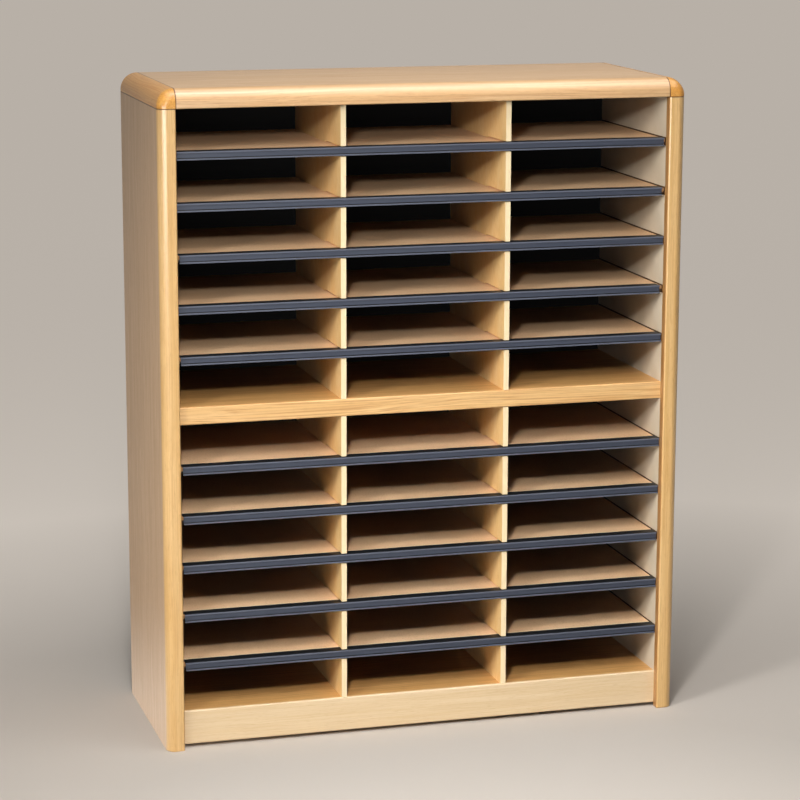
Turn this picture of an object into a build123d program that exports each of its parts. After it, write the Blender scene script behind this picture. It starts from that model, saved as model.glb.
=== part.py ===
from build123d import *
import os

# Free-standing literature sorter: letter-size compartments in three columns and two sections.
# Millimetres. +X is right, the front faces -Y, +Z is up, the origin is the centre of the base.

# Compartments
column_count = 3
row_count = 6
column_width = 249.7
opening_height = 63.5
overall_depth = 305.0

# Boards
side_thickness = 19.0
liner_thickness = 8.0
divider_thickness = 8.0
shelf_thickness = 5.0
top_thickness = 29.0
middle_thickness = 27.0
bottom_thickness = 19.0
kick_thickness = 16.0
kick_lip = 4.0
base_height = 59.0
floor_gap = 6.0
edge_ease = 2.0

# Back panel, let into rebates of the sides
back_thickness = 4.0
back_inset = 3.0
rebate_width = 9.0
rebate_clearance = 0.5

# Solid-wood front posts and corner rails
post_depth = 14.0
post_inner_radius = 3.0
foot_ease = 1.5
front_round_share = 0.93
corner_round_share = 0.96

# Label strips: an extrusion that grips the front edge of a shelf
strip_setback = 12.0
strip_end_gap = 3.0
strip_drop = 4.9
flange_thickness = 1.4
flange_depth = 20.5
grip_depth = 14.0
web_thickness = 2.0
label_gap = 1.0
lip_thickness = 1.2
upper_lip_height = 2.4
lower_lip_height = 2.2
lip_round = 0.5
label_groove_depth = 1.2
label_groove_height = 1.4
strip_shift_shares = (0.7, 0.65, 0.4, 0.7, 0.8, 0.5, -0.8, 0.6, -0.65, -0.1)

# Half-lap between shelves and dividers
lap_depth = 96.0
lap_end_clearance = 0.5
slot_side_clearance = 0.6
slot_headroom = 2.2
slide_clearance = 0.2
mouth_clearance = 1.5
shelf_end_clearance = 0.8
shelf_back_clearance = 1.0

# Tongues that hold the dividers in stopped grooves of the boards
tongue_height = 4.0
tongue_setback = 4.0
tongue_clearance = 0.2

# Runners under the shelf ends, set in grooves of the side liners
runner_height = 6.0
runner_reach = 6.0
runner_groove_depth = 3.0
runner_setback = 16.0
groove_headroom = 2.0

# Wood dowels
dowel_radius = 4.0
dowel_length = 30.0
dowel_clearance = 0.1
dowel_side_share = 0.63
rail_dowel_height_share = 0.4
board_dowel_shares = (0.34, 0.66)
kick_dowel_shares = (0.3, 0.7)
rail_side_dowel_shares = (0.14, 0.5, 0.86)
rail_top_dowel_shares = (0.3, 0.7)

# Cam bolts and cam locks
bolt_radius = 3.0
bolt_end_radius = 3.5
bolt_head_length = 3.0
bolt_clearance = 0.25
bolt_side_share = 0.58
cam_radius = 7.5
cam_height = 13.0
cam_axis_height = 8.0
cam_distance = 24.0
board_bolt_shares = (0.18, 0.82)

# Back-panel screws
screw_radius = 1.75
screw_length = 16.0
screw_head_radius = 3.5
screw_head_height = 2.0
screw_clearance = 0.25
side_screw_shares = (0.04, 0.27, 0.5, 0.73, 0.96)
board_screw_shares = (0.2, 0.5, 0.8)

# Every cut runs past the face it starts from by this much
overrun = 1.0

# Worked out from the sizes above
strip_height = 2 * flange_thickness + shelf_thickness + strip_drop
plate_thickness = web_thickness + label_gap + lip_thickness
row_pitch = opening_height + strip_height
section_height = row_count * opening_height + (row_count - 1) * strip_height
lower_floor = base_height
lower_ceiling = lower_floor + section_height
upper_floor = lower_ceiling + middle_thickness
upper_ceiling = upper_floor + section_height
overall_height = upper_ceiling + top_thickness

inner_width = column_count * column_width + (column_count - 1) * divider_thickness
post_width = side_thickness + liner_thickness
half_width = inner_width / 2 + post_width
side_inner = half_width - side_thickness
post_inner = inner_width / 2
front_radius = front_round_share * post_depth
corner_radius = corner_round_share * min(post_width, top_thickness)

front = -overall_depth / 2
rear = overall_depth / 2
carcass_front = front + post_depth
back_face = rear - back_inset
carcass_back = back_face - back_thickness
kick_back = carcass_front + kick_thickness
bottom_front = carcass_front + kick_lip
strip_front = front + strip_setback
shelf_front = strip_front + plate_thickness
shelf_back = carcass_back - shelf_back_clearance
lap_end = carcass_front + lap_depth
groove_front = bottom_front + tongue_setback
runner_front = carcass_front + runner_setback

divider_centres = [
    (column + 1) * column_width + (column + 0.5) * divider_thickness - inner_width / 2
    for column in range(column_count - 1)
]
sections = {"lower": (lower_floor, lower_ceiling), "upper": (upper_floor, upper_ceiling)}
dowel_in_side = dowel_side_share * side_thickness
bolt_in_side = bolt_side_share * side_thickness


def slab(x, y, z):
    """A block between the low and high ends given for each axis."""
    size = Box(x[1] - x[0], y[1] - y[0], z[1] - z[0])
    return Pos((x[0] + x[1]) / 2, (y[0] + y[1]) / 2, (z[0] + z[1]) / 2) * size


def rod(start, axis, radius, length):
    """A round bar of that length from a start point along an axis."""
    bar = Cylinder(radius, length, align=(Align.CENTER, Align.CENTER, Align.MIN))
    return Plane(origin=start, z_dir=axis) * bar


def between(low, high, share):
    """The point at a share of the way from low to high."""
    return low + share * (high - low)


def right_of(shape):
    """The mirror image on the right of a piece made on the left."""
    return mirror(shape, about=Plane.YZ)


def both_sides(shapes):
    """One group of the pieces made on the left and their mirror images."""
    return Compound(children=shapes + [right_of(shape) for shape in shapes])


def strip_tops(section):
    """Heights of the strip tops in a section, the lowest first."""
    floor = sections[section][0]
    return [floor + row * row_pitch for row in range(1, row_count)]


def shelf_levels(section):
    """Underside and top of each loose shelf in a section, the lowest first."""
    tops = [top - flange_thickness for top in strip_tops(section)]
    return [(top - shelf_thickness, top) for top in tops]


# Fixing places

def board_places(front_edge, underside, shares, height):
    """Places (y, z) along the end of a fixed board, at shares of its depth."""
    return [(between(front_edge, carcass_back, share), underside + height) for share in shares]


bottom_underside = lower_floor - bottom_thickness
bolt_places = {
    "middle": board_places(carcass_front, lower_ceiling, board_bolt_shares, cam_axis_height),
    "bottom": board_places(bottom_front, bottom_underside, board_bolt_shares, cam_axis_height),
}
dowel_places = {
    "middle": board_places(carcass_front, lower_ceiling, board_dowel_shares, middle_thickness / 2),
    "bottom": board_places(bottom_front, bottom_underside, board_dowel_shares, bottom_thickness / 2),
    "kick": [
        (carcass_front + kick_thickness / 2, between(floor_gap, bottom_underside, share))
        for share in kick_dowel_shares
    ],
}
rail_side_places = [between(front, rear, share) for share in rail_side_dowel_shares]
rail_top_places = [between(front, rear, share) for share in rail_top_dowel_shares]
rail_dowel_height = upper_ceiling + rail_dowel_height_share * top_thickness
rail_dowel_x = side_thickness / 2 - half_width


def end_dowel(place, clearance):
    """A dowel across the joint of the left side panel and a board end, or its hole."""
    start = -side_inner - dowel_in_side - clearance
    return rod((start, *place), (1, 0, 0), dowel_radius + clearance, dowel_length + 2 * clearance)


def rail_side_dowel(y, clearance):
    """An upright dowel between the left side panel and the left corner rail, or its hole."""
    start = upper_ceiling - dowel_length / 2 - clearance
    place = (rail_dowel_x, y, start)
    return rod(place, (0, 0, 1), dowel_radius + clearance, dowel_length + 2 * clearance)


def rail_top_dowel(y, clearance):
    """A level dowel between the left corner rail and the top panel, or its hole."""
    start = -post_inner - dowel_length / 2 - clearance
    place = (start, y, rail_dowel_height)
    return rod(place, (1, 0, 0), dowel_radius + clearance, dowel_length + 2 * clearance)


def bolt_hole(place):
    """The hole for a cam bolt in the left side panel and in the board's end."""
    start = -side_inner - bolt_in_side - bolt_clearance
    length = bolt_in_side + cam_distance + bolt_head_length + 2 * bolt_clearance
    return rod((start, *place), (1, 0, 0), bolt_end_radius + bolt_clearance, length)


def cam_hole(place):
    """The hole for a cam lock in a board's underside."""
    y, z = place
    start = (cam_distance - side_inner, y, z - cam_axis_height - overrun)
    return rod(start, (0, 0, 1), cam_radius + bolt_clearance, cam_height + bolt_clearance + overrun)


def screw_places():
    """Places (x, z) of the screws through the back panel, seen from the front."""
    rebate_middle = side_inner + rebate_width / 2
    heights = [between(bottom_underside, upper_ceiling, share) for share in side_screw_shares]
    places = [(side * rebate_middle, z) for side in (-1, 1) for z in heights]
    board_heights = (lower_floor - bottom_thickness / 2, upper_floor - middle_thickness / 2)
    widths = [between(-post_inner, post_inner, share) for share in board_screw_shares]
    return places + [(x, z) for x in widths for z in board_heights]


def screw_hole(place):
    """The hole for a screw through the back panel and into what is behind it."""
    x, z = place
    start = (x, back_face + overrun, z)
    return rod(start, (0, -1, 0), screw_radius + screw_clearance, screw_length + screw_clearance + overrun)


# Carcass

def left_side_panel():
    """Side board with a rebate for the back panel and blind holes for the fixings."""
    panel = slab((-half_width, -side_inner), (carcass_front, rear), (0, upper_ceiling))
    panel -= slab(
        (-side_inner - rebate_width, -side_inner + overrun),
        (carcass_back, rear + overrun),
        (bottom_underside, upper_ceiling + overrun),
    )
    for places in bolt_places.values():
        panel -= [bolt_hole(place) for place in places]
    for places in dowel_places.values():
        panel -= [end_dowel(place, dowel_clearance) for place in places]
    panel -= [rail_side_dowel(y, dowel_clearance) for y in rail_side_places]
    return panel - [screw_hole(place) for place in screw_places() if place[0] < -side_inner]


def left_front_post():
    """Front moulding that covers the edges of the side panel and the liners."""
    post = slab((-half_width, -post_inner), (front, carcass_front), (0, upper_ceiling))
    front_edges = post.edges().filter_by(Axis.Z).group_by(Axis.Y)[0].sort_by(Axis.X)
    post = fillet(front_edges[0], front_radius)
    inner_edge = post.edges().filter_by(Axis.Z).group_by(Axis.Y)[0].sort_by(Axis.X)[-1]
    post = fillet(inner_edge, post_inner_radius)
    foot_edges = post.faces().sort_by(Axis.Z)[0].edges().sort_by(Axis.Y)[:-1]
    return chamfer(foot_edges, foot_ease)


def left_corner_rail():
    """Quarter-round rail along the top of the side, its front end rounded over like the post."""
    rail = slab((-half_width, -post_inner), (front, rear), (upper_ceiling, overall_height))
    crown = rail.edges().filter_by(Axis.Y).group_by(Axis.Z)[-1].sort_by(Axis.X)[0]
    rail = fillet(crown, corner_radius)
    front_edges = rail.faces().sort_by(Axis.Y)[0].edges()
    seam = front_edges.sort_by(Axis.X)[-1]
    foot = front_edges.sort_by(Axis.Z)[0]
    rail = fillet([edge for edge in front_edges if edge not in (seam, foot)], front_radius)
    rail -= [rail_side_dowel(y, dowel_clearance) for y in rail_side_places]
    return rail - [rail_top_dowel(y, dowel_clearance) for y in rail_top_places]


def tongue_grooves(surface, direction):
    """Stopped grooves for the dividers' tongues, cut up or down from a board's surface."""
    bottom = surface + direction * (tongue_height + tongue_clearance)
    depth = sorted((surface - direction * overrun, bottom))
    reach = divider_thickness / 2 + tongue_clearance
    return [
        slab((x - reach, x + reach), (groove_front - tongue_clearance, carcass_back + overrun), depth)
        for x in divider_centres
    ]


def top_panel():
    """Top board between the corner rails, with a rounded front edge."""
    panel = slab((-post_inner, post_inner), (front, rear), (upper_ceiling, overall_height))
    front_edges = panel.faces().sort_by(Axis.Y)[0].edges().filter_by(Axis.X).sort_by(Axis.Z)
    panel = fillet(front_edges[-1], front_radius)
    front_foot = panel.edges().filter_by(Axis.X).group_by(Axis.Z)[0].sort_by(Axis.Y)[0]
    panel = fillet(front_foot, edge_ease)
    panel -= tongue_grooves(upper_ceiling, 1)
    for y in rail_top_places:
        hole = rail_top_dowel(y, dowel_clearance)
        panel -= [hole, right_of(hole)]
    return panel


def fixed_board(name, y_low, underside, top):
    """A fixed board between the side panels, drilled for its cams, bolts, dowels and screws."""
    board = slab((-side_inner, side_inner), (y_low, carcass_back), (underside, top))
    holes = [bolt_hole(place) for place in bolt_places[name]]
    holes += [cam_hole(place) for place in bolt_places[name]]
    holes += [end_dowel(place, dowel_clearance) for place in dowel_places[name]]
    for hole in holes:
        board -= [hole, right_of(hole)]
    return board - [screw_hole(place) for place in screw_places() if underside < place[1] < top]


def middle_shelf():
    """Fixed board between the two sections, grooved on both faces for the dividers."""
    shelf = fixed_board("middle", carcass_front, lower_ceiling, upper_floor)
    front_edges = shelf.faces().sort_by(Axis.Y)[0].edges().filter_by(Axis.X)
    shelf = fillet(front_edges, edge_ease)
    return shelf - tongue_grooves(lower_ceiling, 1) - tongue_grooves(upper_floor, -1)


def bottom_shelf():
    """Fixed board on the ledge of the kick plate, grooved for the lower dividers."""
    shelf = fixed_board("bottom", bottom_front, bottom_underside, lower_floor)
    return shelf - tongue_grooves(lower_floor, -1)


def kick_plate():
    """Front plate under the lowest compartments, clear of the floor, its ledge under the bottom board."""
    width = (-side_inner, side_inner)
    plate = slab(width, (carcass_front, kick_back), (floor_gap, lower_floor))
    front_edges = plate.faces().sort_by(Axis.Y)[0].edges().filter_by(Axis.X)
    plate = fillet(front_edges, edge_ease)
    plate -= slab(width, (bottom_front, kick_back + overrun), (bottom_underside, lower_floor + overrun))
    for place in dowel_places["kick"]:
        hole = end_dowel(place, dowel_clearance)
        plate -= [hole, right_of(hole)]
    return plate


def back_panel():
    """Thin panel in the rebates of the sides, screwed to the sides and the fixed boards."""
    reach = side_inner + rebate_width - rebate_clearance
    panel = slab((-reach, reach), (carcass_back, back_face), (bottom_underside, upper_ceiling))
    return panel - [screw_hole(place) for place in screw_places()]


# Inner grid

def divider(centre, section):
    """Upright board with front-open slots for the shelves and tongues at its ends."""
    floor, ceiling = sections[section]
    x = (centre - divider_thickness / 2, centre + divider_thickness / 2)
    x_cut = (x[0] - overrun, x[1] + overrun)
    board = slab(x, (carcass_front, carcass_back), (floor, ceiling))
    board += slab(x, (groove_front, carcass_back), (floor - tongue_height, ceiling + tongue_height))
    mouth_end = strip_front + flange_depth + mouth_clearance
    for (low, high), top in zip(shelf_levels(section), strip_tops(section)):
        slot = (low - slide_clearance, high + slot_headroom)
        mouth = (top - strip_height - mouth_clearance, top + mouth_clearance)
        board -= slab(x_cut, (carcass_front - overrun, lap_end), slot)
        board -= slab(x_cut, (carcass_front - overrun, mouth_end), mouth)
    return board


def runner_span(level):
    """Underside and top of the runner that carries a shelf's end."""
    top = level[0] - slide_clearance
    return (top - runner_height, top)


def left_liner(section):
    """Inner lining of the left side, grooved for the runners under the shelf ends."""
    board = slab((-side_inner, -post_inner), (carcass_front, carcass_back), sections[section])
    groove_floor = -post_inner - runner_groove_depth
    for level in shelf_levels(section):
        groove = (runner_span(level)[0], level[1] + groove_headroom)
        cut_y = (carcass_front - overrun, carcass_back + overrun)
        board -= slab((groove_floor, -post_inner + overrun), cut_y, groove)
    return board


def left_runners(section):
    """Runners in the grooves of the left liner, one under each shelf's end."""
    x = (-post_inner - runner_groove_depth, -post_inner + runner_reach)
    spans = [runner_span(level) for level in shelf_levels(section)]
    return [slab(x, (runner_front, carcass_back), span) for span in spans]


def shelf(level):
    """Loose shelf that slides in from the front, with back-open slots that straddle the dividers."""
    reach = post_inner - shelf_end_clearance
    board = slab((-reach, reach), (shelf_front, shelf_back), level)
    half_slot = divider_thickness / 2 + slot_side_clearance
    z_cut = (level[0] - overrun, level[1] + overrun)
    for x in divider_centres:
        slot_y = (lap_end - lap_end_clearance, shelf_back + overrun)
        board -= slab((x - half_slot, x + half_slot), slot_y, z_cut)
    return board


def label_strip(top, shift):
    """Extruded strip: a top flange and a grip hold the shelf's edge, two lips hold a paper label.

    A groove behind the lower lip takes the label's edge.
    """
    grip_top = -flange_thickness - shelf_thickness
    pocket = (-lip_thickness, lip_thickness - strip_height)
    pocket_back = lip_thickness + label_gap
    groove_back = pocket_back + label_groove_depth
    groove_top = lower_lip_height + label_groove_height - strip_height
    outline = Polyline(
        (0, 0),
        (flange_depth, 0),
        (flange_depth, -flange_thickness),
        (plate_thickness, -flange_thickness),
        (plate_thickness, grip_top),
        (grip_depth, grip_top),
        (grip_depth, grip_top - flange_thickness),
        (plate_thickness, grip_top - flange_thickness),
        (plate_thickness, -strip_height),
        (0, -strip_height),
        (0, lower_lip_height - strip_height),
        (lip_thickness, lower_lip_height - strip_height),
        (lip_thickness, pocket[1]),
        (groove_back, pocket[1]),
        (groove_back, groove_top),
        (pocket_back, groove_top),
        (pocket_back, pocket[0]),
        (lip_thickness, pocket[0]),
        (lip_thickness, -upper_lip_height),
        (0, -upper_lip_height),
        close=True,
    )
    section_face = make_face(outline)
    section_face = fillet(section_face.vertices().group_by(Axis.X)[0], lip_round)
    half_length = post_inner - strip_end_gap
    strip = extrude(Plane.YZ * section_face, half_length, both=True)
    return Pos(shift * strip_end_gap, strip_front, top) * strip


# Fasteners

def dowels():
    """All the wood dowels: board ends, kick plate ends and the joints of the corner rails."""
    left = [end_dowel(place, 0) for places in dowel_places.values() for place in places]
    left += [rail_side_dowel(y, 0) for y in rail_side_places]
    left += [rail_top_dowel(y, 0) for y in rail_top_places]
    return both_sides(left)


def cam_bolt(place):
    """Bolt screwed into the left side panel, with a head that the cam lock pulls on."""
    thread = rod((-side_inner - bolt_in_side, *place), (1, 0, 0), bolt_end_radius, bolt_in_side)
    shank = rod((-side_inner, *place), (1, 0, 0), bolt_radius, cam_distance)
    head = rod((cam_distance - side_inner, *place), (1, 0, 0), bolt_end_radius, bolt_head_length)
    return thread + shank + head


def cam_lock(place):
    """Round cam in a board's underside, bored across for the head of the bolt."""
    y, z = place
    body = rod((cam_distance - side_inner, y, z - cam_axis_height), (0, 0, 1), cam_radius, cam_height)
    return body - bolt_hole(place)


def back_screw(place):
    """Pan-head screw through the back panel."""
    x, z = place
    shank = rod((x, back_face, z), (0, -1, 0), screw_radius, screw_length)
    return shank + rod((x, back_face, z), (0, 1, 0), screw_head_radius, screw_head_height)


all_bolt_places = bolt_places["middle"] + bolt_places["bottom"]

nodes = {
    "top_panel": top_panel(),
    "middle_shelf": middle_shelf(),
    "bottom_shelf": bottom_shelf(),
    "kick_plate": kick_plate(),
    "back_panel": back_panel(),
    "wood_dowels": dowels(),
    "cam_bolts": both_sides([cam_bolt(place) for place in all_bolt_places]),
    "cam_locks": both_sides([cam_lock(place) for place in all_bolt_places]),
    "back_screws": Compound(children=[back_screw(place) for place in screw_places()]),
}

mirrored_pieces = {
    "side_panel": left_side_panel(),
    "front_post": left_front_post(),
    "corner_rail": left_corner_rail(),
}
for section in sections:
    mirrored_pieces[f"{section}_liner"] = left_liner(section)
    mirrored_pieces[f"{section}_runners"] = Compound(children=left_runners(section))
for name, piece in mirrored_pieces.items():
    nodes[f"left_{name}"] = piece
    nodes[f"right_{name}"] = right_of(piece)

for section in sections:
    for number, centre in enumerate(divider_centres, start=1):
        nodes[f"{section}_divider_{number}"] = divider(centre, section)

shelf_count = 0
for section in sections:
    for number, level in enumerate(shelf_levels(section), start=1):
        shift = strip_shift_shares[shelf_count % len(strip_shift_shares)]
        nodes[f"{section}_shelf_{number}"] = shelf(level)
        nodes[f"{section}_strip_{number}"] = label_strip(strip_tops(section)[number - 1], shift)
        shelf_count += 1

os.makedirs("parts", exist_ok=True)
for name, piece in nodes.items():
    export_step(piece, f"parts/{name}.step")
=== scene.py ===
import math

import bpy
import numpy as np
from mathutils import Matrix, Vector


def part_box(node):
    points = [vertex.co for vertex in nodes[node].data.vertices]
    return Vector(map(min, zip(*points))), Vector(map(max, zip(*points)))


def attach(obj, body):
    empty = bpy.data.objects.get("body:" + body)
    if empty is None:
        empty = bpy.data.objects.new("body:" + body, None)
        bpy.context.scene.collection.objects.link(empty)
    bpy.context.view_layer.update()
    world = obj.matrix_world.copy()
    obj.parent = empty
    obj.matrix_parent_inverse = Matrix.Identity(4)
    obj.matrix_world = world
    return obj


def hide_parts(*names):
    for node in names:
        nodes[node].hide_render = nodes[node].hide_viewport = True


# Literature sorter in light wood: two sections of letter-size compartments with loose hardboard shelves.
# Metres, in the frame of the solids: +X is right, the front faces -Y, +Z is up.

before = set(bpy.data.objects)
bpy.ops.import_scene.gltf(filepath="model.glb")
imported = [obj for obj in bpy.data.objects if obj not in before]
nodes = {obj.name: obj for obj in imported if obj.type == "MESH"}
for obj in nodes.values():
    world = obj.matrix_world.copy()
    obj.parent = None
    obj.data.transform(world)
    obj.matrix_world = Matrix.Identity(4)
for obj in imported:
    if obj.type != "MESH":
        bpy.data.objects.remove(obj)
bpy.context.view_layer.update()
mm = 0.001

# Rounds of the solid-wood mouldings and of the top
front_radius = 13.02 * mm
top_radius = 20.9 * mm
corner_radius = 25.92 * mm
inner_radius = 3.0 * mm
foot_ease = 1.5 * mm
edge_ease = 2.0 * mm
seam_ease = 0.8 * mm
hidden_ease = 0.3 * mm
post_crown = 0.8 * mm
arc_steps = 14
ease_steps = 8
sharp_angle = math.radians(40)

# Places read from the frame
post_low, post_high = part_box("left_front_post")
rail_low, rail_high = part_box("left_corner_rail")
divider_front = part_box("lower_divider_1")[0].y
strip_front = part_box("lower_strip_1")[0].y
liner_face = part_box("right_lower_liner")[0].x
seam_height = rail_low.z
seam_side = rail_high.x

X, Y, Z = 0, 1, 2


# Shapes

def rounded_sections(low, high, radii, insets):
    """Rounded rectangles in a plane, one for each row of insets.

    The corners run low-low, high-low, high-high, low-high. Each corner is a quarter circle about its own
    centre, so a point is centre + radius * (cos, sin). The insets move the four sides (low a, low b, high a,
    high b) inwards, and where both sides of a corner move, its radius loses the larger of their insets.
    """
    sides_a = np.array([0, 2, 2, 0])
    sides_b = np.array([1, 1, 3, 3])
    inward_a = np.array([1, -1, -1, 1])
    inward_b = np.array([1, 1, -1, -1])
    ends = np.array([low[0], low[1], high[0], high[1]])
    places = ends + insets * np.array([1, 1, -1, -1])
    inset_a, inset_b = insets[:, sides_a], insets[:, sides_b]
    radius = np.asarray(radii) - np.where(inset_a * inset_b > 0, np.maximum(inset_a, inset_b), 0)
    centre_a = places[:, sides_a] + inward_a * radius
    centre_b = places[:, sides_b] + inward_b * radius
    angle = np.pi + np.arange(4)[:, None] * np.pi / 2 + np.linspace(0, np.pi / 2, arc_steps + 1)
    a = centre_a[..., None] + radius[..., None] * np.cos(angle)
    b = centre_b[..., None] + radius[..., None] * np.sin(angle)
    return np.stack([a, b], axis=-1).reshape(len(insets), -1, 2)


def eased_stations(start, end, start_radius, end_radius):
    """Stations along a path with a quarter circle at each end.

    On each circle the station is r * (1 - cos t) from the end, and the inset there is r * (1 - sin t).
    """
    turn = np.linspace(0, np.pi / 2, ease_steps + 1)
    first = start + start_radius * (1 - np.cos(turn))
    last = end - end_radius * (1 - np.cos(turn[::-1]))
    first_inset = start_radius * (1 - np.sin(turn))
    last_inset = end_radius * (1 - np.sin(turn[::-1]))
    return np.concatenate([first, last]), first_inset, last_inset


def carried_rings(low, high, radii, axes, path, eased_sides):
    """Rings of points: a rounded rectangle in the plane of two axes, carried along the third.

    path is (start, end, start radius, end radius), and eased_sides says, for each end, how far each of the
    four sides draws in there, as a share of the radius.
    """
    stations, first_inset, last_inset = eased_stations(*path)
    insets = np.concatenate([
        first_inset[:, None] * np.array(eased_sides[0]),
        last_inset[:, None] * np.array(eased_sides[1]),
    ])
    section = rounded_sections(low, high, radii, insets)
    rings = np.empty((*section.shape[:2], 3))
    rings[..., axes[0]] = section[..., 0]
    rings[..., axes[1]] = section[..., 1]
    rings[..., axes[2]] = stations[:, None]
    return rings


def closed_piece(name, rings):
    """A closed piece: quads join each ring to the next, and flat caps close the first and the last."""
    levels, around = rings.shape[:2]
    index = np.arange(levels * around).reshape(levels, around)
    ahead = np.roll(index, -1, axis=1)
    quads = np.stack([index[:-1], ahead[:-1], ahead[1:], index[1:]], axis=-1).reshape(-1, 4)
    faces = quads.tolist() + [index[0, ::-1].tolist(), index[-1].tolist()]
    mesh = bpy.data.meshes.new(name)
    mesh.from_pydata(rings.reshape(-1, 3).tolist(), [], faces)
    mesh.shade_smooth()
    mesh.set_sharp_from_angle(angle=sharp_angle)
    piece = bpy.data.objects.new(name, mesh)
    bpy.context.scene.collection.objects.link(piece)
    even = piece.modifiers.new("even_normals", "WEIGHTED_NORMAL")
    even.keep_sharp = True
    return piece


def front_post(side):
    """Upright moulding: its outer front edge is a large round, its inner one a small round, its foot eased.

    The face between them is crowned: it falls back by crown * (distance from the middle / half width) ** 2,
    less and less towards the flat back.
    """
    low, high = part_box(f"{side}_front_post")
    rounds = (front_radius, inner_radius) if side == "left" else (inner_radius, front_radius)
    radii = (*rounds, hidden_ease, hidden_ease)
    path = (low.z, high.z, foot_ease, seam_ease)
    eased = (1, 1, 1, 0)
    rings = carried_rings(low.xy, high.xy, radii, (X, Y, Z), path, (eased, eased))
    off_middle = (2 * rings[..., X] - low.x - high.x) / (high.x - low.x)
    from_back = (high.y - rings[..., Y]) / (high.y - low.y)
    rings[..., Y] += post_crown * off_middle ** 2 * from_back
    return closed_piece(f"{side}_post_moulding", rings)


def corner_rail(side):
    """Quarter-round rail along the top of a side, its front end drawn in by a quarter circle.

    The circle's radius is the post's at the foot and grows to the top board's at the crown: it is
    foot + (top - foot) * s * s * (3 - 2 * s), where s goes from 0 to 1 over the height of the crown's round.
    """
    low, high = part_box(f"{side}_corner_rail")
    growth = top_radius / front_radius
    if side == "left":
        radii = (seam_ease, corner_radius, seam_ease, hidden_ease)
        eased = ((0, 1, growth, 0), (0, 1, 1, 0))
    else:
        radii = (hidden_ease, seam_ease, corner_radius, seam_ease)
        eased = ((0, 0, growth, 1), (0, 0, 1, 1))
    path = (low.y, high.y, front_radius, seam_ease)
    rings = carried_rings((low.z, low.x), (high.z, high.x), radii, (Z, X, Y), path, eased)
    share = np.clip(1 - (high.z - rings[ease_steps, :, Z]) / corner_radius, 0, 1)
    front_end = rings[:ease_steps + 1, :, Y]
    front_end += (front_end - low.y) * (growth - 1) * share ** 2 * (3 - 2 * share)
    return closed_piece(f"{side}_rail_moulding", rings)


def top_board():
    """Top board between the rails: a large round along its front, its ends eased at the seams."""
    low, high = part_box("top_panel")
    radii = (edge_ease, hidden_ease, seam_ease, top_radius)
    path = (low.x, high.x, seam_ease, seam_ease)
    eased = (1, 0, 1, 1)
    rings = carried_rings((low.y, low.z), (high.y, high.z), radii, (Y, Z, X), path, (eased, eased))
    return closed_piece("top_board", rings)


# Materials

relief_strength = 0.3
seam_reach = 1.1 * mm
seam_core = 0.4 * seam_reach
seam_weight = 0.85
# The layers of wood grain, and how many times as long as wide each is drawn
drift_length, band_length, streak_length, pore_length = 7.5, 40, 140, 16


def linear(hex_colour):
    """An sRGB hex colour as linear red, green, blue and alpha."""
    value = np.array([int(hex_colour[start:start + 2], 16) for start in (1, 3, 5)]) / 255
    low, high = value / 12.92, ((value + 0.055) / 1.055) ** 2.4
    return (*np.where(value <= 0.04045, low, high).tolist(), 1.0)


def add(tree, kind, inputs=None, output=0, **settings):
    """A node with its settings, giving one of its outputs. An input is a value or an output to link from."""
    node = tree.nodes.new(kind)
    for name, value in settings.items():
        setattr(node, name, value)
    for key, value in (inputs or {}).items():
        if isinstance(value, bpy.types.NodeSocket):
            tree.links.new(value, node.inputs[key])
        else:
            node.inputs[key].default_value = value
    return node.outputs[output] if node.outputs else None


def started(name):
    """An empty material, its node tree, and the piece's own coordinates in metres."""
    material = bpy.data.materials.new(name)
    material.use_nodes = True
    tree = material.node_tree
    tree.nodes.clear()
    return material, tree, add(tree, "ShaderNodeTexCoord", output="Object")


def finished(tree, colour, roughness, relief, depth, fixed):
    """The surface from its colour, roughness, relief of a depth in mm, and the shader's fixed settings."""
    raised = {"Height": relief, "Strength": relief_strength, "Distance": depth * mm}
    bump = add(tree, "ShaderNodeBump", raised)
    inputs = {"Base Color": colour, "Roughness": roughness, "Normal": bump, **fixed}
    surface = add(tree, "ShaderNodeBsdfPrincipled", inputs)
    add(tree, "ShaderNodeOutputMaterial", {"Surface": surface})


def laid(tree, colour, tone, value, low, high, weight=1.0):
    """A tone laid over a colour: none of it where a value is at low, its full weight at high."""
    limits = {"Value": value, "From Min": low, "From Max": high, "To Max": weight}
    share = add(tree, "ShaderNodeMapRange", limits)
    return add(tree, "ShaderNodeMix", {0: share, 6: colour, 7: tone}, 2, data_type="RGBA")


def cells(tree, place, sizes, detail):
    """Noise with cells of these sizes in mm along the three axes."""
    scale = [1 / (size * mm) for size in sizes]
    spot = add(tree, "ShaderNodeMapping", {"Vector": place, "Scale": scale})
    return add(tree, "ShaderNodeTexNoise", {"Vector": spot, "Scale": 1.0, "Detail": detail})


def fibres(axis, width, length):
    """Cell sizes of fibres of a width and a length that run along an axis."""
    return [length if along == axis else width for along in (X, Y, Z)]


def even(size):
    """Cell sizes of a grain that is alike along all three axes."""
    return [size] * 3


def off_plane(tree, place, axis, position):
    """Distance from the two planes that stand at a position on either side of the middle."""
    along = add(tree, "ShaderNodeSeparateXYZ", {0: place}, axis)
    across = add(tree, "ShaderNodeMath", {0: along}, operation="ABSOLUTE")
    beyond = add(tree, "ShaderNodeMath", {0: across, 1: abs(position)}, operation="SUBTRACT")
    return add(tree, "ShaderNodeMath", {0: beyond}, operation="ABSOLUTE")


def upward(tree):
    """How far the surface faces up: 1 on top, 0 on a wall, -1 underneath."""
    normal = add(tree, "ShaderNodeNewGeometry", output="Normal")
    return add(tree, "ShaderNodeSeparateXYZ", {0: normal}, Z)


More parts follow.
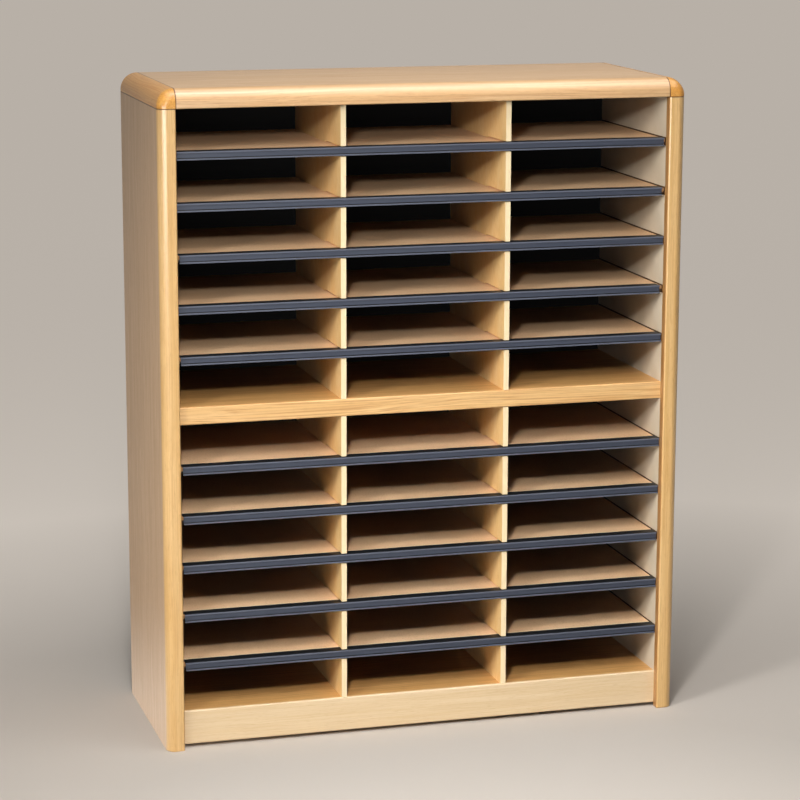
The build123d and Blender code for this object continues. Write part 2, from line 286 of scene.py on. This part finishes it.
def oak(name, axis, tones, sizes, strengths, gloss, shaded_seams=(), faces=()):
    """Oak, solid or as a laminate's print, sanded and lacquered, with its fibres along one axis.

    Broad growth bands, fine streaks and short open pores are three layers of noise drawn out along the
    grain, which sways gently from side to side, and the pores leave the lacquer a little hollow. tones are
    body, pale band, dark streak and pore; sizes are band, streak and pore width in mm, each drawn coarser
    than real pores so that it shows; gloss is roughness, specular level, coat and coat roughness. Each seam
    gives the axis, place and tone of a fine dark line where two pieces meet, partly finish gathered in the
    joint and partly painted shade. faces give a tone for what faces up or down, the upward values between
    which it sets in, and its weight.
    """
    body, pale, dark, pore = [linear(tone) for tone in tones]
    band, streak, pore_width = sizes
    roughness, specular, coat, coat_roughness = gloss
    material, tree, place = started(name)
    drift_width = 4 * band
    drift = cells(tree, place, fibres(axis, drift_width, drift_length * drift_width), 1.0)
    reach = 0.5 * band * mm
    sway = add(tree, "ShaderNodeMapRange", {"Value": drift, "From Min": 0.2, "From Max": 0.8,
                                            "To Min": -reach, "To Max": reach})
    swayed = add(tree, "ShaderNodeVectorMath", {0: place, 1: sway}, operation="ADD")
    bands = cells(tree, swayed, fibres(axis, band, band_length * band), 2.0)
    streaks = cells(tree, swayed, fibres(axis, streak, streak_length * streak), 3.0)
    pores = cells(tree, swayed, fibres(axis, pore_width, pore_length * pore_width), 1.0)
    colour = laid(tree, body, pale, bands, 0.35, 0.68, strengths[0])
    for tone, low, high, weight in faces:
        colour = laid(tree, colour, linear(tone), upward(tree), low, high, weight)
    colour = laid(tree, colour, dark, streaks, 0.42, 0.68, strengths[1])
    colour = laid(tree, colour, pore, pores, 0.58, 0.74, strengths[2])
    # Partly painted shade: a dark line along each seam, darker than its groove's own shade.
    for seam_axis, position, tone in shaded_seams:
        seam = off_plane(tree, place, seam_axis, position)
        colour = laid(tree, colour, linear(tone), seam, seam_reach, seam_core, seam_weight)
    rough = add(tree, "ShaderNodeMapRange", {"Value": streaks, "From Min": 0.35, "From Max": 0.65,
                                             "To Min": roughness - 0.04, "To Max": roughness + 0.06})
    relief = add(tree, "ShaderNodeMath", {0: streaks, 1: pores}, operation="ADD")
    lacquer = {"Specular IOR Level": specular, "Coat Weight": coat, "Coat Roughness": coat_roughness}
    finished(tree, colour, rough, relief, -0.05, lacquer)
    return material


def kraft_hardboard(name, tones, edge_and_highlight):
    """Hardboard of a loose shelf, pressed from brown fibres: two sizes of fleck and a slow change of shade.

    Its face is smooth and light, and its screen-marked back is laid near black, darker than such a back is,
    as painted shade that keeps the compartments below dark. A paler band just behind the strip is a painted
    highlight along the shelf's front, and it ends between the last two of the three places given. Up to the
    first, under the strip, the sawn edge is left raw and brown.
    """
    body, pale, dark, back, painted_highlight, raw = [linear(tone) for tone in tones]
    material, tree, place = started(name)
    fine = cells(tree, place, even(0.9), 3.0)
    fleck = cells(tree, place, even(2.6), 2.0)
    slow = cells(tree, place, even(110), 1.0)
    colour = laid(tree, body, pale, fine, 0.36, 0.64, 0.7)
    colour = laid(tree, colour, dark, fleck, 0.52, 0.7, 0.4)
    colour = laid(tree, colour, dark, slow, 0.35, 0.65, 0.25)
    depth = add(tree, "ShaderNodeSeparateXYZ", {0: place}, Y)
    # Painted highlight: a paler band just behind the strip.
    colour = laid(tree, colour, painted_highlight, depth, edge_and_highlight[2], edge_and_highlight[1])
    colour = laid(tree, colour, raw, depth, edge_and_highlight[0], edge_and_highlight[0] - 1 * mm)
    # Painted shade: the downward faces are laid near black.
    colour = laid(tree, colour, back, upward(tree), -0.3, -0.6)
    finished(tree, colour, 0.75, fine, 0.1, {"Specular IOR Level": 0.15})
    return material


def coated_hardboard(name, tones):
    """Hardboard of the back panel under a thin black coat, where the fibres show as a faint orange peel."""
    body, pale = [linear(tone) for tone in tones]
    material, tree, place = started(name)
    peel = cells(tree, place, even(1.4), 3.0)
    cloud = cells(tree, place, even(60), 2.0)
    colour = laid(tree, body, pale, peel, 0.4, 0.66, 0.5)
    colour = laid(tree, colour, pale, cloud, 0.4, 0.7, 0.4)
    rough = add(tree, "ShaderNodeMapRange", {"Value": peel, "To Min": 0.7, "To Max": 0.85})
    finished(tree, colour, rough, peel, 0.08, {"Specular IOR Level": 0.1})
    return material


def edged_board(name, tones, edge_depth):
    """Fibreboard of a divider: a printed honey face with fine upright figure, its edge under a pale tape."""
    body, pale, dark, tape = [linear(tone) for tone in tones]
    material, tree, place = started(name)
    figure = cells(tree, place, fibres(Z, 1.6, 14), 3.0)
    cloud = cells(tree, place, fibres(Z, 18, 90), 2.0)
    colour = laid(tree, body, pale, cloud, 0.35, 0.68, 0.7)
    colour = laid(tree, colour, dark, figure, 0.38, 0.66, 0.5)
    depth = add(tree, "ShaderNodeSeparateXYZ", {0: place}, Y)
    tape_full, tape_end = divider_front + 0.5 * edge_depth, divider_front + edge_depth
    colour = laid(tree, colour, tape, depth, tape_end, tape_full)
    finished(tree, colour, 0.6, figure, 0.04, {"Specular IOR Level": 0.25})
    return material


def paper_faced_board(name, tones):
    """Liner board: a matt cream paper face, faintly clouded; in the runner grooves its bare brown inside is
    laid darker, partly its own tone and partly painted shade.
    """
    body, dark, bare_core_and_shade = [linear(tone) for tone in tones]
    material, tree, place = started(name)
    cloud = cells(tree, place, even(35), 3.0)
    tooth = cells(tree, place, even(0.9), 2.0)
    colour = laid(tree, body, dark, cloud, 0.35, 0.65, 0.5)
    colour = laid(tree, colour, dark, tooth, 0.45, 0.7, 0.25)
    # Partly painted shade: faces off the liner's face, in the runner grooves, take the dark brown tone.
    face = off_plane(tree, place, X, liner_face)
    colour = laid(tree, colour, bare_core_and_shade, face, 0.2 * mm, 0.6 * mm)
    finished(tree, colour, 0.7, tooth, 0.04, {"Specular IOR Level": 0.2})
    return material


def extruded_vinyl(name, tones):
    """Vinyl of a label strip, with fine die lines along its length.

    The web is slate and the flange darker. The lips are laid paler as a painted highlight, and the groove
    behind the lower lip is laid dark in the flange's tone as painted shade.
    """
    web, lip, flange = [linear(tone) for tone in tones]
    material, tree, place = started(name)
    die_lines = cells(tree, place, fibres(X, 0.5, 400), 2.0)
    depth = add(tree, "ShaderNodeSeparateXYZ", {0: place}, Y)
    colour = laid(tree, web, lip, die_lines, 0.5, 0.8, 0.4)
    lip_end, web_start = strip_front + 1.3 * mm, strip_front + 1.7 * mm
    flange_start, flange_full = strip_front + 0.8 * mm, strip_front + 1.4 * mm
    web_end, back_start = strip_front + 2.4 * mm, strip_front + 2.7 * mm
    # Painted highlight: the front of the lips is laid in the pale tone.
    colour = laid(tree, lip, colour, depth, lip_end, web_start)
    level = add(tree, "ShaderNodeMapRange", {"Value": upward(tree), "From Min": 0.5, "From Max": 0.8})
    limits = {"Value": depth, "From Min": flange_start, "From Max": flange_full}
    behind = add(tree, "ShaderNodeMapRange", limits)
    top = add(tree, "ShaderNodeMath", {0: behind, 1: level}, operation="MULTIPLY")
    colour = laid(tree, colour, flange, top, 0.0, 1.0)
    # Partly painted shade: faces deeper than the web take the flange's dark tone, the flange's own colour
    # and the groove's painted shade.
    colour = laid(tree, colour, flange, depth, web_end, back_start)
    rough = add(tree, "ShaderNodeMapRange", {"Value": die_lines, "To Min": 0.35, "To Max": 0.55})
    finished(tree, colour, rough, die_lines, 0.04, {"Specular IOR Level": 0.25})
    return material


def plated_metal(name, tones, roughness, grit):
    """Zinc or zinc-plated steel: a bright skin, clouded by handling."""
    bright, dull = [linear(tone) for tone in tones]
    material, tree, place = started(name)
    cloud = cells(tree, place, even(grit), 3.0)
    colour = laid(tree, bright, dull, cloud, 0.3, 0.7, 0.5)
    limits = {"Value": cloud, "To Min": roughness - 0.1, "To Max": roughness + 0.1}
    rough = add(tree, "ShaderNodeMapRange", limits)
    finished(tree, colour, rough, cloud, 0.02, {"Metallic": 1.0})
    return material


# The seam tone is partly finish gathered in the joints and partly painted shade of their grooves. The corner
# tone is painted shade along the posts' inner edges, where they meet the liners and the kick plate.
seam_finish_and_shade_tone = "#5a361c"
post_edge_shade_tone = "#a06f3c"
# Painted shade: this near-black tone is laid on the undersides of the top and of the boards, so that the
# compartments under them stay dark.
underside_shade_tone = "#211913"
flange_end = strip_front + 20.5 * mm
painted_underside_shade = (underside_shade_tone, -0.6, -0.9, 1.0)

moulding_wood = oak(
    "lacquered_oak_moulding", Z, ("#d6ab6b", "#e1bb81", "#c19050", "#a8793f"),
    (9, 1.5, 0.9), (0.8, 0.5, 0.35), (0.4, 0.3, 0.6, 0.2),
    [(Z, seam_height, seam_finish_and_shade_tone), (X, post_high.x, post_edge_shade_tone)],
)
rail_wood = oak(
    "lacquered_oak_rail", Y, ("#dc9b47", "#e4ab59", "#bf7b37", "#a3652a"),
    (9, 1.5, 0.9), (0.8, 0.5, 0.35), (0.45, 0.1, 0.45, 0.12),
    [(Z, seam_height, seam_finish_and_shade_tone), (X, seam_side, seam_finish_and_shade_tone)],
)
top_wood = oak(
    "oak_laminate_top", X, ("#d6aa75", "#dfba8c", "#b68554", "#9c6d3d"),
    (12, 1.8, 0.9), (0.8, 0.6, 0.35), (0.42, 0.3, 0.55, 0.25), [(X, seam_side, seam_finish_and_shade_tone)], [painted_underside_shade],
)
side_wood = oak(
    "oak_laminate_side", Z, ("#cba57b", "#d5b18a", "#b38a61", "#99734d"),
    (12, 1.6, 0.9), (0.8, 0.6, 0.4), (0.45, 0.3, 0.25, 0.25), [(Z, seam_height, seam_finish_and_shade_tone)],
)
board_wood = oak(
    "oak_laminate_board", X, ("#dfb375", "#e9c48c", "#b8834a", "#956534"),
    (8, 1.8, 1.0), (0.8, 0.75, 0.2), (0.5, 0.3, 0.2, 0.3), [], [("#e0a55e", 0.6, 0.9, 0.7), painted_underside_shade],
)
kick_wood = oak(
    "pale_oak_kick_plate", X, ("#dec39a", "#e4cca8", "#d1b386", "#c3a273"),
    (9, 1.3, 0.8), (0.8, 0.5, 0.35), (0.5, 0.3, 0.2, 0.3),
)
bare_wood = oak(
    "bare_beech", Y, ("#d3b386", "#dcc09a", "#c19f70", "#a8855a"),
    (6, 1.2, 0.8), (0.8, 0.5, 0.35), (0.65, 0.3, 0.0, 0.5),
)
shelf_board = kraft_hardboard(
    "brown_hardboard", ("#f5c899", "#fad6ae", "#d3a477", "#211913", "#fbdfbb", "#a97f55"),
    (flange_end - 2 * mm, flange_end + 5 * mm, flange_end + 8 * mm),
)
back_board = coated_hardboard("black_coated_hardboard", ("#0e0d0c", "#161413"))
divider_board = edged_board("printed_divider_board", ("#f8cd8a", "#fbd79c", "#e4b06c", "#efdab0"), 1.2 * mm)
liner_board = paper_faced_board("paper_faced_liner", ("#d6c7b0", "#cab99d", "#5e4128"))
strip_plastic = extruded_vinyl("extruded_vinyl", ("#3f4554", "#575c6a", "#16171a"))
zinc = plated_metal("die_cast_zinc", ("#b9bab8", "#8c8a86"), 0.45, 3.0)
steel = plated_metal("zinc_plated_steel", ("#c9c8c2", "#8c8a86"), 0.3, 1.5)


# Pieces

sides = ("left", "right")
sections = ("lower", "upper")
divider_count = 2
shelf_count = 5


def dressed(piece, node, material):
    """A new piece that stands for a fixed node of the cabinet, with its material."""
    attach(piece, "cabinet")
    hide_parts(node)
    piece.data.materials.append(material)


def painted(node, material):
    """A node of the solids with a material in place of its own."""
    mesh = nodes[node].data
    mesh.materials.clear()
    mesh.materials.append(material)


for side in sides:
    dressed(front_post(side), f"{side}_front_post", moulding_wood)
    dressed(corner_rail(side), f"{side}_corner_rail", rail_wood)
    painted(f"{side}_side_panel", side_wood)
    for section in sections:
        painted(f"{side}_{section}_liner", liner_board)
        painted(f"{side}_{section}_runners", bare_wood)
dressed(top_board(), "top_panel", top_wood)
painted("middle_shelf", board_wood)
painted("bottom_shelf", board_wood)
painted("kick_plate", kick_wood)
painted("back_panel", back_board)
painted("wood_dowels", bare_wood)
painted("cam_bolts", steel)
painted("back_screws", steel)
painted("cam_locks", zinc)
for section in sections:
    for number in range(1, divider_count + 1):
        painted(f"{section}_divider_{number}", divider_board)
    for number in range(1, shelf_count + 1):
        painted(f"{section}_shelf_{number}", shelf_board)
        painted(f"{section}_strip_{number}", strip_plastic)


# Floor, light and camera

floor_reach = 30.0
floor_tone = "#bcb4ab"
far_lift = 0.93
lit_middle = (0.0, -0.8, 0.0)
lift_start, lift_end = 0.7, 2.15
# Painted reflection: near the left side's foot the floor glows in the gloss, to this reach and strength.
side_foot = (post_low.x, 0.05, 0.0)
sheen_reach, painted_sheen_glow = 0.75, 2.3
background_tone = "#b8b0a7"
ambient_strength = 0.05


def lamp(name, place, aim, size, power, spread, hidden_from=()):
    """A rectangular soft box with a spread in degrees, never seen by the camera.

    One that is hidden from diffuse light is a white card that shows only in the gloss.
    """
    light = bpy.data.lights.new(name, "AREA")
    light.shape = "RECTANGLE"
    light.size, light.size_y = size
    light.energy = power
    light.spread = math.radians(spread)
    holder = bpy.data.objects.new(name, light)
    holder.location = place
    holder.rotation_mode = "QUATERNION"
    holder.rotation_quaternion = (Vector(aim) - Vector(place)).to_track_quat("-Z", "Y")
    for kind in ("camera", *hidden_from):
        setattr(holder, f"visible_{kind}", False)
    bpy.context.scene.collection.objects.link(holder)


def seen_directly(tree):
    """1 for rays from the camera and for mirrored or transmitted ones, 0 for diffuse light."""
    path = add(tree, "ShaderNodeLightPath", output="Is Camera Ray").node.outputs
    mirrored = {0: path["Is Glossy Ray"], 1: path["Is Transmission Ray"]}
    both = {0: path["Is Camera Ray"], 1: add(tree, "ShaderNodeMath", mirrored, operation="MAXIMUM")}
    return add(tree, "ShaderNodeMath", both, operation="MAXIMUM")


def pale_floor():
    """A wide level floor: a matt pale surface that takes the shadows, lifted where it is seen.

    The lift grows with the distance from the middle of the lamps' light, so that the background stays pale
    on every side. Near the foot of the left side the floor also glows for glossy rays alone: a painted
    reflection that lays a pale sheen on the lower part of the side.
    """
    corners = [(-floor_reach, -floor_reach, 0), (floor_reach, -floor_reach, 0),
               (floor_reach, floor_reach, 0), (-floor_reach, floor_reach, 0)]
    mesh = bpy.data.meshes.new("floor")
    mesh.from_pydata(corners, [], [(0, 1, 2, 3)])
    floor = bpy.data.objects.new("floor", mesh)
    bpy.context.scene.collection.objects.link(floor)
    material, tree, place = started("pale_floor")
    matt = add(tree, "ShaderNodeBsdfDiffuse", {"Color": linear(floor_tone)})
    away = add(tree, "ShaderNodeVectorMath", {0: place, 1: lit_middle}, "Value", operation="DISTANCE")
    limits = {"Value": away, "From Min": lift_start, "From Max": lift_end, "To Max": far_lift}
    growth = add(tree, "ShaderNodeMapRange", limits)
    seen = add(tree, "ShaderNodeMath", {0: growth, 1: seen_directly(tree)}, operation="MULTIPLY")
    # Painted reflection: a glow that glossy rays alone see, near the left side's foot.
    beside = add(tree, "ShaderNodeVectorMath", {0: place, 1: side_foot}, "Value", operation="DISTANCE")
    near = {"Value": beside, "From Min": sheen_reach, "From Max": 0.0, "To Max": painted_sheen_glow}
    sheen = add(tree, "ShaderNodeMapRange", near, interpolation_type="SMOOTHSTEP")
    mirrored = add(tree, "ShaderNodeLightPath", output="Is Glossy Ray")
    lift = add(tree, "ShaderNodeMath", {0: sheen, 1: mirrored, 2: seen}, operation="MULTIPLY_ADD")
    glow = add(tree, "ShaderNodeEmission", {"Color": linear(floor_tone), "Strength": lift})
    add(tree, "ShaderNodeOutputMaterial", {"Surface": add(tree, "ShaderNodeAddShader", {0: matt, 1: glow})})
    mesh.materials.append(material)


def pale_world():
    """Even light from all round, with a pale background wherever it is seen directly."""
    world = bpy.data.worlds.new("studio")
    world.use_nodes = True
    tree = world.node_tree
    tree.nodes.clear()
    strength = add(tree, "ShaderNodeMapRange", {"Value": seen_directly(tree), "To Min": ambient_strength})
    light = add(tree, "ShaderNodeBackground", {"Color": linear(background_tone), "Strength": strength})
    add(tree, "ShaderNodeOutputWorld", {"Surface": light})
    bpy.context.scene.world = world


# The camera stands in front of the left post, above the top, and looks down a little
camera_place = Vector((-1.1257, -3.9275, 1.3456))
camera_yaw = 0.2789
camera_pitch = -0.2055
camera_roll = 0.0023
image_width = 800
focal_pixels = 2648.55
sensor_width = 36.0


def photo_camera():
    """A camera from its place, its turn to the right, its tilt, its roll and its focal length in pixels."""
    level = Vector((math.cos(camera_yaw), -math.sin(camera_yaw), 0.0))
    ahead = Vector((math.sin(camera_yaw) * math.cos(camera_pitch),
                    math.cos(camera_yaw) * math.cos(camera_pitch), math.sin(camera_pitch)))
    upright = level.cross(ahead)
    right = level * math.cos(camera_roll) + upright * math.sin(camera_roll)
    up = upright * math.cos(camera_roll) - level * math.sin(camera_roll)
    data = bpy.data.cameras.new("camera")
    data.sensor_width = sensor_width
    data.lens = focal_pixels * sensor_width / image_width
    camera = bpy.data.objects.new("camera", data)
    turn = Matrix((right, up, -ahead)).transposed()
    camera.matrix_world = Matrix.Translation(camera_place) @ turn.to_4x4()
    bpy.context.scene.collection.objects.link(camera)
    bpy.context.scene.camera = camera


pale_floor()
pale_world()
# A small key casts the crisp shadows, a tall box above it reaches into the compartments and a soft box fills
# from the left. They are aimed past the foot, so that they light the front evenly.
off_gloss, off_matt = ["glossy"], ["diffuse"]
lamp("key", (-0.7, -1.8, 1.42), (0.6, 0.0, -1.6), (0.14, 0.14), 12.2, 123.0)
lamp("soft_box", (-1.45, -1.2, 1.45), (3.2, -0.6, -1.6), (0.4, 0.45), 8.6, 85.0, off_gloss)
lamp("tall_box", (-0.6, -1.8, 1.95), (0.6, 0.0, -1.6), (0.4, 0.9), 10.2, 123.0, off_gloss)
lamp("top_light", (0.15, -0.6, 2.6), (0.15, -0.2, 1.0), (1.2, 0.8), 6.0, 90.0)
lamp("side_light", (-3.0, -0.6, 0.3), (-0.41, 0.0, 0.25), (0.8, 0.6), 1.5, 52.0, off_gloss)
lamp("low_card", (-1.75, -3.3, 0.88), (-0.4, -0.15, 0.88), (3.6, 1.04), 165.0, 180.0, off_matt)
lamp("high_card", (0.4, -0.9, 2.4), (0.4, -0.9, 0.0), (3.0, 2.6), 100.0, 180.0, off_matt)
photo_camera()
bpy.context.scene.view_settings.view_transform = "Standard"
